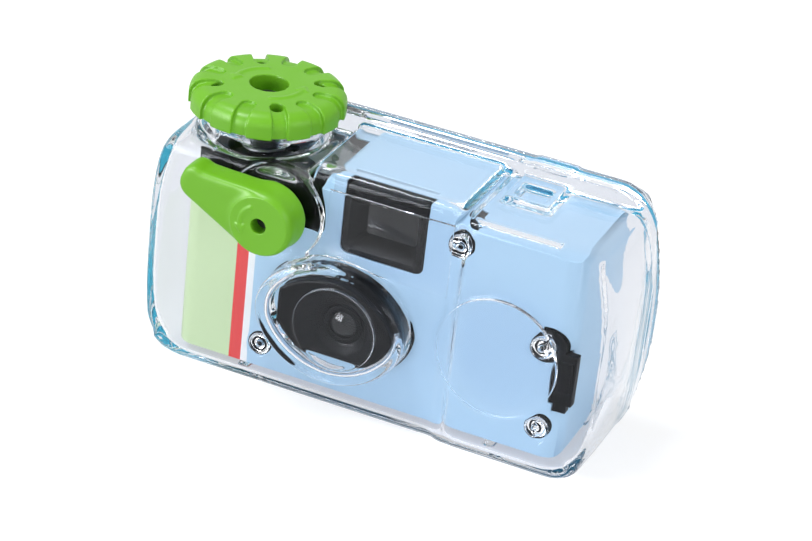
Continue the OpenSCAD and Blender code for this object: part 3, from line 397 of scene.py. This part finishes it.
def front_shell():
    """The clear front half, with soft edges, and round bores for the two shafts."""
    b = in_cells("front_case", 0.5)
    smooth(b, everywhere, 3)
    smooth(b, lambda p: p.y > FRONT_FLANGE_Y, 2)
    smooth(b, front_is_soft, 5)
    smooth(b, seam, 24)
    smooth(b, bowed_end, 60)
    even_ends(b)
    true_bore(b, (0, 1), DIAL_AT, DIAL_BORE_R, 50, 66)
    true_bore(b, (0, 2), LEVER_AT, LEVER_BORE_R, -30, -15)
    bmesh.ops.dissolve_limit(b, angle_limit=math.radians(0.1), verts=b.verts, edges=b.edges)
    piece = cast(b, "front_case_moulded", "front_case", clear)
    piece.modifiers.new("flat_faces", "WEIGHTED_NORMAL")


def rear_shell():
    """The clear rear half; the groove of its seal is filled, as the seal fills it."""
    b = in_cells("rear_case case_seal", 0.5)
    smooth(b, everywhere, 5)
    smooth(b, lambda p: p.y > REAR_FLANGE_Y, 4)
    even_ends(b)
    cast(b, "rear_case_moulded", "rear_case", clear)


def pressed_seal():
    """The rubber seal, pressed against the front shell with no film of air between them."""
    b = merged("case_seal")
    low = min(v.co.y for v in b.verts)
    front = [v for v in b.verts if v.co.y < low + 0.01 * MM]
    bmesh.ops.translate(b, verts=front, vec=(0, -0.15 * MM, 0))
    piece = cast(b, "case_seal_pressed", "case_seal", teal)
    piece.data.set_sharp_from_angle(angle=SHARP)


def pressed_spring():
    """The coil spring under the release plunger, as a piece with a mesh of its own; the real one shortens by
    the plunger's travel.
    """
    piece = cast(merged("release_spring"), "release_spring_coiled", "release_spring", steel)
    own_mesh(piece)


def clear_step(name, b, front, back, rim, mat):
    """A shallow clear step on the front shell, from its outline in XY, its faces' y and its rim's radius."""
    made = bmesh.ops.extrude_face_region(b, geom=b.faces[:])
    rise = [part for part in made["geom"] if isinstance(part, bmesh.types.BMVert)]
    bmesh.ops.translate(b, verts=rise, vec=(0, 0, (back - front) * MM))
    bmesh.ops.recalc_face_normals(b, faces=b.faces)
    edges = [e for e in b.edges if all(v in rise for v in e.verts)]
    bmesh.ops.bevel(b, geom=edges, offset=rim * MM, offset_type="OFFSET", affect="EDGES", segments=4,
                    profile=0.5, material=-1)
    bmesh.ops.rotate(b, verts=b.verts, cent=(0, 0, 0), matrix=Matrix.Rotation(math.radians(90), 3, "X"))
    bmesh.ops.translate(b, verts=b.verts, vec=(0, back * MM, 0))
    crisp(cast(b, name, "front_case", mat))


def disc(middle, radius):
    """A round outline."""
    b = bmesh.new()
    bmesh.ops.create_circle(b, cap_ends=True, segments=128, radius=radius * MM)
    bmesh.ops.translate(b, verts=b.verts, vec=(middle[0] * MM, middle[1] * MM, 0))
    return b


def sight_plate():
    """The outline of the step before the sight, with a rounded lower left corner."""
    b = bmesh.new()
    bmesh.ops.create_grid(b, x_segments=1, y_segments=1, size=0.5)
    bmesh.ops.scale(b, verts=b.verts, vec=(SIGHT_W * MM, SIGHT_H * MM, 1))
    middle = ((SIGHT_LEFT + SIGHT_W / 2) * MM, (SIGHT_FOOT + SIGHT_H / 2) * MM, 0)
    bmesh.ops.translate(b, verts=b.verts, vec=middle)
    corner = [v for v in b.verts if v.co.x < middle[0] and v.co.y < middle[1]]
    bmesh.ops.bevel(b, geom=corner, offset=3 * MM, offset_type="OFFSET", affect="VERTICES", segments=8,
                    profile=0.5, material=-1)
    return b


def soft_dial():
    """The green dial with softened grooves."""
    b = in_cells("advance_dial", 0.25)
    smooth(b, everywhere, 2)
    cast(b, "advance_dial_moulded", "advance_dial", green)


def soft_lever():
    """The green lever, round-edged but crisp about its arrow and hole."""
    b = in_cells("shutter_lever", 0.2)
    smooth(b, everywhere, 2)
    smooth(b, lambda p: off_axis(p, LEVER_AT) > 7.6, 110)
    cast(b, "shutter_lever_moulded", "shutter_lever", green)


def lens_panel_edge(p):
    """The outer front edge of the raised lens panel."""
    return p.y < -21 and off_axis(p, LENS_AT) > 9


front_shell()
rear_shell()
pressed_seal()
pressed_spring()
clear_step("lens_window_step", disc(WINDOW_AT, WINDOW_R), -27.65, -26.6, 0.35, clear_rim)
clear_step("grip_pad_step", disc(PAD_AT, PAD_PLATE_R), -22.15, -20.6, 0.24, faint_rim)
clear_step("sight_pad_step", sight_plate(), -20.4, -19.2, 0.4, faint_rim)
soft_dial()
soft_lever()
softened("front_cover", black, 0.9, 4, lens_panel_edge)
# of the lens only the seat behind its dome is rounded, of its ring and the sight frame only the front; the
# lens's deep grey tint is painted shade of the chamber behind it
softened("front_lens", shade_tinted_acrylic, 0.1, 2, lambda p: p.y > -19)
softened("lens_retainer", black, 0.12, 2, lambda p: p.y < -20.3)
softened("viewfinder_frame", black, 0.4, 3, lambda p: p.y < -12)
softened("side_latch", black, 0.15, 2, everywhere)
softened("card_sleeve", card, 0.12, 2, everywhere)


# Floor, room and lamps

def background_rays(tree, share):
    """The share for rays that see the background straight, in gloss or through glass; 0 for the rest."""
    path = add(tree, "LightPath")
    seen = path.outputs["Is Camera Ray"]
    for ray in ("Is Glossy Ray", "Is Transmission Ray"):
        seen = add(tree, "Math", {"operation": "MAXIMUM"}, {0: seen, 1: path.outputs[ray]}).outputs[0]
    return add(tree, "Math", {"operation": "MULTIPLY", 1: share}, {0: seen}).outputs[0]


def white_floor():
    """White paper that shows as white and keeps a soft shadow."""
    mesh = bpy.data.meshes.new("floor")
    b = bmesh.new()
    bmesh.ops.create_grid(b, x_segments=1, y_segments=1, size=3)
    b.to_mesh(mesh)
    b.free()
    floor = bpy.data.objects.new("floor", mesh)
    bpy.context.collection.objects.link(floor)
    mat, tree, out, place = material("white_paper")
    sheet = add(tree, "BsdfDiffuse", {"Color": linear("FAFAFA")})
    path = add(tree, "LightPath")
    level = add(tree, "MapRange", {"To Min": 1.0, "To Max": 1.2}, {"Value": path.outputs["Is Camera Ray"]})
    glow = add(tree, "Emission", {"Color": linear("FFFFFF")}, {"Strength": level.outputs[0]})
    seen = background_rays(tree, 0.62)
    both = add(tree, "MixShader", None, {0: seen, 1: sheet.outputs[0], 2: glow.outputs[0]})
    tree.links.new(both.outputs[0], out.inputs["Surface"])
    mesh.materials.append(mat)


def studio():
    """White room: full white where it is seen, softer where it only lights."""
    world = bpy.data.worlds.new("studio")
    bpy.context.scene.world = world
    world.use_nodes = True
    tree = world.node_tree
    seen = background_rays(tree, 1.0)
    level = add(tree, "MapRange", {"To Min": 0.4, "To Max": 1.0}, {"Value": seen})
    sky = tree.nodes["Background"]
    sky.inputs["Color"].default_value = linear("FFFFFF")
    tree.links.new(level.outputs[0], sky.inputs["Strength"])


def softbox(name, place, size, watts, gloss_only=False):
    """A square soft lamp turned to the object; for gloss alone it is a card that shows in reflections."""
    data = bpy.data.lights.new(name, "AREA")
    data.shape, data.size, data.energy = "SQUARE", size, watts
    lamp = bpy.data.objects.new(name, data)
    lamp.location = place
    lamp.rotation_euler = (LOOK_AT - Vector(place)).to_track_quat("-Z", "Y").to_euler()
    lamp.visible_diffuse = not gloss_only
    bpy.context.collection.objects.link(lamp)


white_floor()
studio()
# places and sizes in metres, power in watts
softbox("window", (-0.75, -0.95, 0.36), 0.4, 4)
softbox("fill", (0.5, -1.15, 0.3), 0.2, 2)
softbox("side", (0.9, -0.25, 0.45), 0.4, 3)
softbox("card", (-0.79, -1.0, 0.38), 0.9, 28, gloss_only=True)
softbox("overhead", (-0.4, -0.15, 1.15), 0.26, 11)
bpy.context.scene.view_settings.view_transform = "Standard"
# light passes many clear walls before it comes out again
bpy.context.scene.cycles.max_bounces = 32
bpy.context.scene.cycles.transmission_bounces = 32
bpy.context.scene.cycles.glossy_bounces = 16
bpy.context.scene.cycles.transparent_max_bounces = 32
